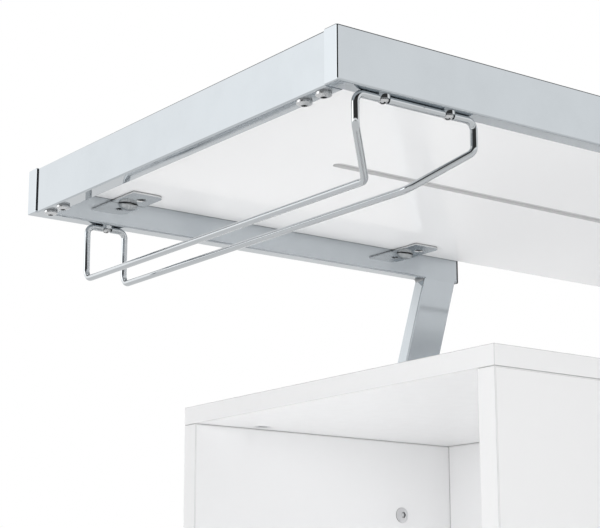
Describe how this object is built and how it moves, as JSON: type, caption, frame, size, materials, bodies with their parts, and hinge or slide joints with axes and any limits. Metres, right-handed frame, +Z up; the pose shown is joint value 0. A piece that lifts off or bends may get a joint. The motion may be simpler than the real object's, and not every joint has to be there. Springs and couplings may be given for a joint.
{
  "type": "bar cabinet",
  "caption": "Bar-height table on leaning chromed legs with a gloss white top, an open white cabinet between the legs and a wire rack for stemmed glasses under one end.",
  "frame": {"origin": "on the floor, in the middle of the footprint", "axes": "+X along the bar top, away from the rack end; +Y from the near long side, where the middle niche opens, to the far one; +Z up"},
  "size_m": [1.21, 0.44, 1.05],
  "materials": {
    "chrome_tube": "polished chrome plate",
    "white_board": "high gloss white lacquer on fibreboard",
    "rack_rod": "bright chromed rod",
    "grey_bracket": "chromed sheet with a weld bead",
    "steel_fixing": "bright zinc plated steel",
    "zinc_disc": "die cast zinc",
    "black_plastic": "moulded black plastic",
    "dowel_wood": "beech"
  },
  "bodies": {
    "table": {"arm_near_left": "chrome_tube", "arm_far_left": "chrome_tube", "arm_near_right": "chrome_tube", "arm_far_right": "chrome_tube", "leg_near_left": "chrome_tube", "leg_far_left": "chrome_tube", "leg_near_right": "chrome_tube", "leg_far_right": "chrome_tube", "end_rail_left": "chrome_tube", "end_rail_right": "chrome_tube", "outer_end_plugs": "chrome_tube", "bar_top_board": "white_board", "side_panel_far": "white_board", "side_panel_near_left": "white_board", "side_panel_near_right": "white_board", "cabinet_top_panel": "white_board", "cabinet_bottom_panel": "white_board", "divider_left": "white_board", "divider_right": "white_board", "end_shelf_left": "white_board", "end_shelf_right": "white_board", "niche_shelf_lower": "white_board", "niche_shelf_upper": "white_board", "stem_rack": "rack_rod", "board_tabs": "grey_bracket", "rail_screws": "steel_fixing", "tab_screws": "steel_fixing", "rack_screws": "steel_fixing", "leg_bolts": "steel_fixing", "leg_spacers": "steel_fixing", "shelf_pins": "steel_fixing", "rail_inserts": "steel_fixing", "leg_nuts": "steel_fixing", "draw_bolts": "steel_fixing", "connector_discs": "zinc_disc", "inner_end_plugs": "black_plastic", "foot_plugs": "black_plastic", "panel_dowels": "dowel_wood"},
    "foot_near_left": {"levelling_foot_near_left": "black_plastic", "levelling_stem_near_left": "steel_fixing"},
    "foot_far_left": {"levelling_foot_far_left": "black_plastic", "levelling_stem_far_left": "steel_fixing"},
    "foot_near_right": {"levelling_foot_near_right": "black_plastic", "levelling_stem_near_right": "steel_fixing"},
    "foot_far_right": {"levelling_foot_far_right": "black_plastic", "levelling_stem_far_right": "steel_fixing"}
  },
  "joints": [
    {"name": "foot_near_left_travel", "type": "slide", "parent": "table", "child": "foot_near_left", "axis": [0, 0, -1], "range_m": [0, 0.01]},
    {"name": "foot_far_left_travel", "type": "slide", "parent": "table", "child": "foot_far_left", "axis": [0, 0, -1], "range_m": [0, 0.01]},
    {"name": "foot_near_right_travel", "type": "slide", "parent": "table", "child": "foot_near_right", "axis": [0, 0, -1], "range_m": [0, 0.01]},
    {"name": "foot_far_right_travel", "type": "slide", "parent": "table", "child": "foot_far_right", "axis": [0, 0, -1], "range_m": [0, 0.01]}
  ]
}
